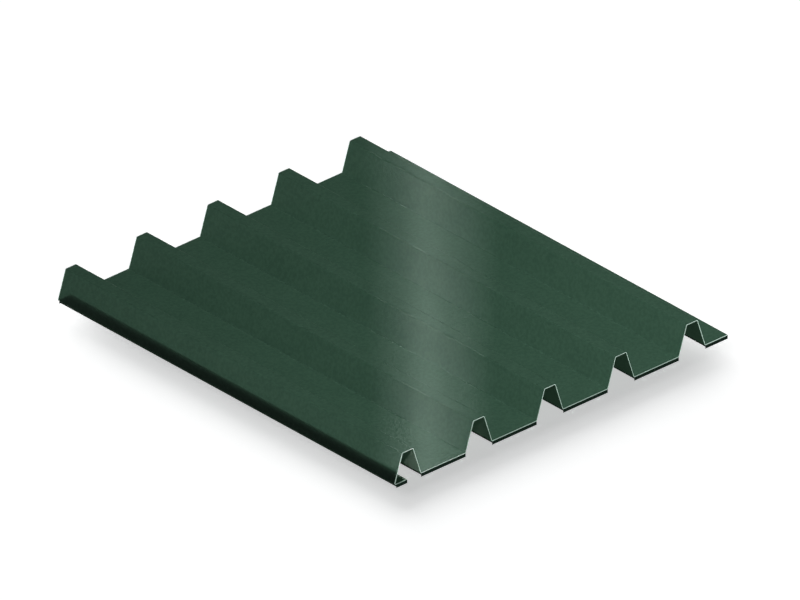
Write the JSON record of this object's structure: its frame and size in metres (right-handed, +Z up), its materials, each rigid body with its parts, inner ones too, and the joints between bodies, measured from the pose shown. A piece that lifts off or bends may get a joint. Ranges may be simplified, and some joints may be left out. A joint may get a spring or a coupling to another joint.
{
  "type": "box profile roofing sheet",
  "caption": "Roll-formed steel roofing sheet with tall trapezoidal ribs, wide flat pans, an inturned foot on one side and a flat side lap flange on the other.",
  "frame": {"origin": "middle of the sheet's length and overall width, on the plane that its pans, foot and flange rest on", "axes": "+X across the ribs from the foot to the side lap flange, +Y along the ribs, +Z up through the crowns"},
  "size_m": [0.9366, 1.045, 0.069],
  "materials": {
    "coated_steel": "dark green leather-grain plastisol coat on galvanised steel, cut ends left bare"
  },
  "bodies": {
    "root": {"sheet": "coated_steel"}
  },
  "joints": []
}
